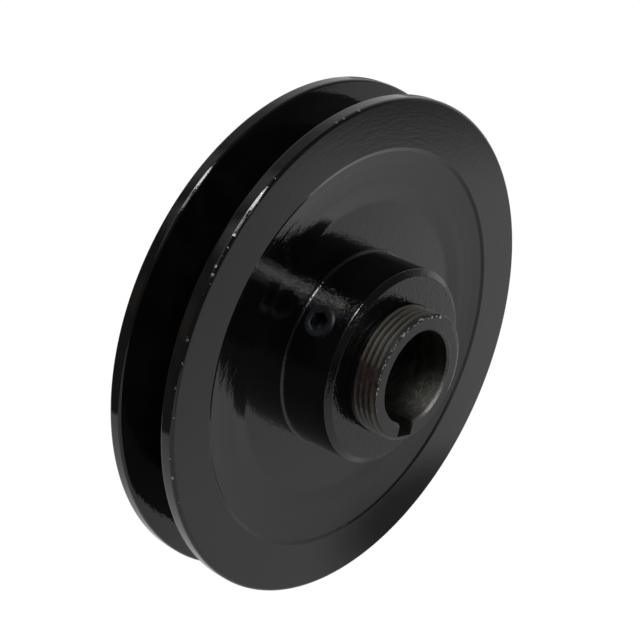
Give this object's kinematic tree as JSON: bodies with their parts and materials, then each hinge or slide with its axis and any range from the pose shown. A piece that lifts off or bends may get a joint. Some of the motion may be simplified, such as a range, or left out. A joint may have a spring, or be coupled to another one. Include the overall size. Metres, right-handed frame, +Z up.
{
  "type": "v belt pulley",
  "caption": "Adjustable single-groove V-belt pulley: a fixed half on a threaded keyed sleeve, and a screwed half with a hub, locked by set screws.",
  "frame": {"origin": "on the shaft axis, in the belt groove's centre plane", "axes": "+Y along the shaft axis from the threaded front end to the rear hub, +Z up"},
  "size_m": [0.1534, 0.0609, 0.1534],
  "materials": {
    "black_enamel": "gloss black enamel over turned cast iron",
    "sleeve_steel": "bare machined steel, oiled and slightly rusted",
    "screw_steel": "black oxide steel",
    "plug_brass": "plain brass"
  },
  "bodies": {
    "fixed_half": {"fixed_flange": "black_enamel", "threaded_sleeve": "sleeve_steel"},
    "movable_half": {"movable_flange": "black_enamel"},
    "plug_1": {"thread_plug_1": "plug_brass"},
    "plug_2": {"thread_plug_2": "plug_brass"},
    "lock_1": {"lock_screw_1": "screw_steel"},
    "lock_2": {"lock_screw_2": "screw_steel"},
    "shaft_set_1": {"shaft_screw_1": "screw_steel"},
    "shaft_set_2": {"shaft_screw_2": "screw_steel"}
  },
  "joints": [
    {"name": "pitch_adjust", "type": "slide", "parent": "fixed_half", "child": "movable_half", "axis": [0, -1, 0], "range_m": [-0.0019, 0.008]},
    {"name": "plug_1_slide", "type": "slide", "parent": "movable_half", "child": "plug_1", "axis": [-0.7193, 0, 0.6947], "range_m": [0, 0.0015]},
    {"name": "lock_screw_1_turn", "type": "hinge", "parent": "plug_1", "child": "lock_1", "pos_m": [-0.02158, -0.01615, 0.02084], "axis": [-0.7193, 0, 0.6947], "range_deg": [0, 360.1]},
    {"name": "plug_2_slide", "type": "slide", "parent": "movable_half", "child": "plug_2", "axis": [0.7193, 0, -0.6947], "range_m": [0, 0.0015]},
    {"name": "lock_screw_2_turn", "type": "hinge", "parent": "plug_2", "child": "lock_2", "pos_m": [0.02158, -0.01615, -0.02084], "axis": [0.7193, 0, -0.6947], "range_deg": [0, 360.1]},
    {"name": "shaft_screw_1_slide", "type": "slide", "parent": "fixed_half", "child": "shaft_set_1", "axis": [-0.3256, 0, -0.9455], "range_m": [0, 0.004]},
    {"name": "shaft_screw_2_slide", "type": "slide", "parent": "fixed_half", "child": "shaft_set_2", "axis": [-0.9455, 0, 0.3256], "range_m": [0, 0.004]}
  ],
  "couplings": [
    {"joint": "lock_screw_1_turn", "follows": "plug_1_slide", "rad_per_m": 4188.8},
    {"joint": "lock_screw_2_turn", "follows": "plug_2_slide", "rad_per_m": 4188.8}
  ]
}
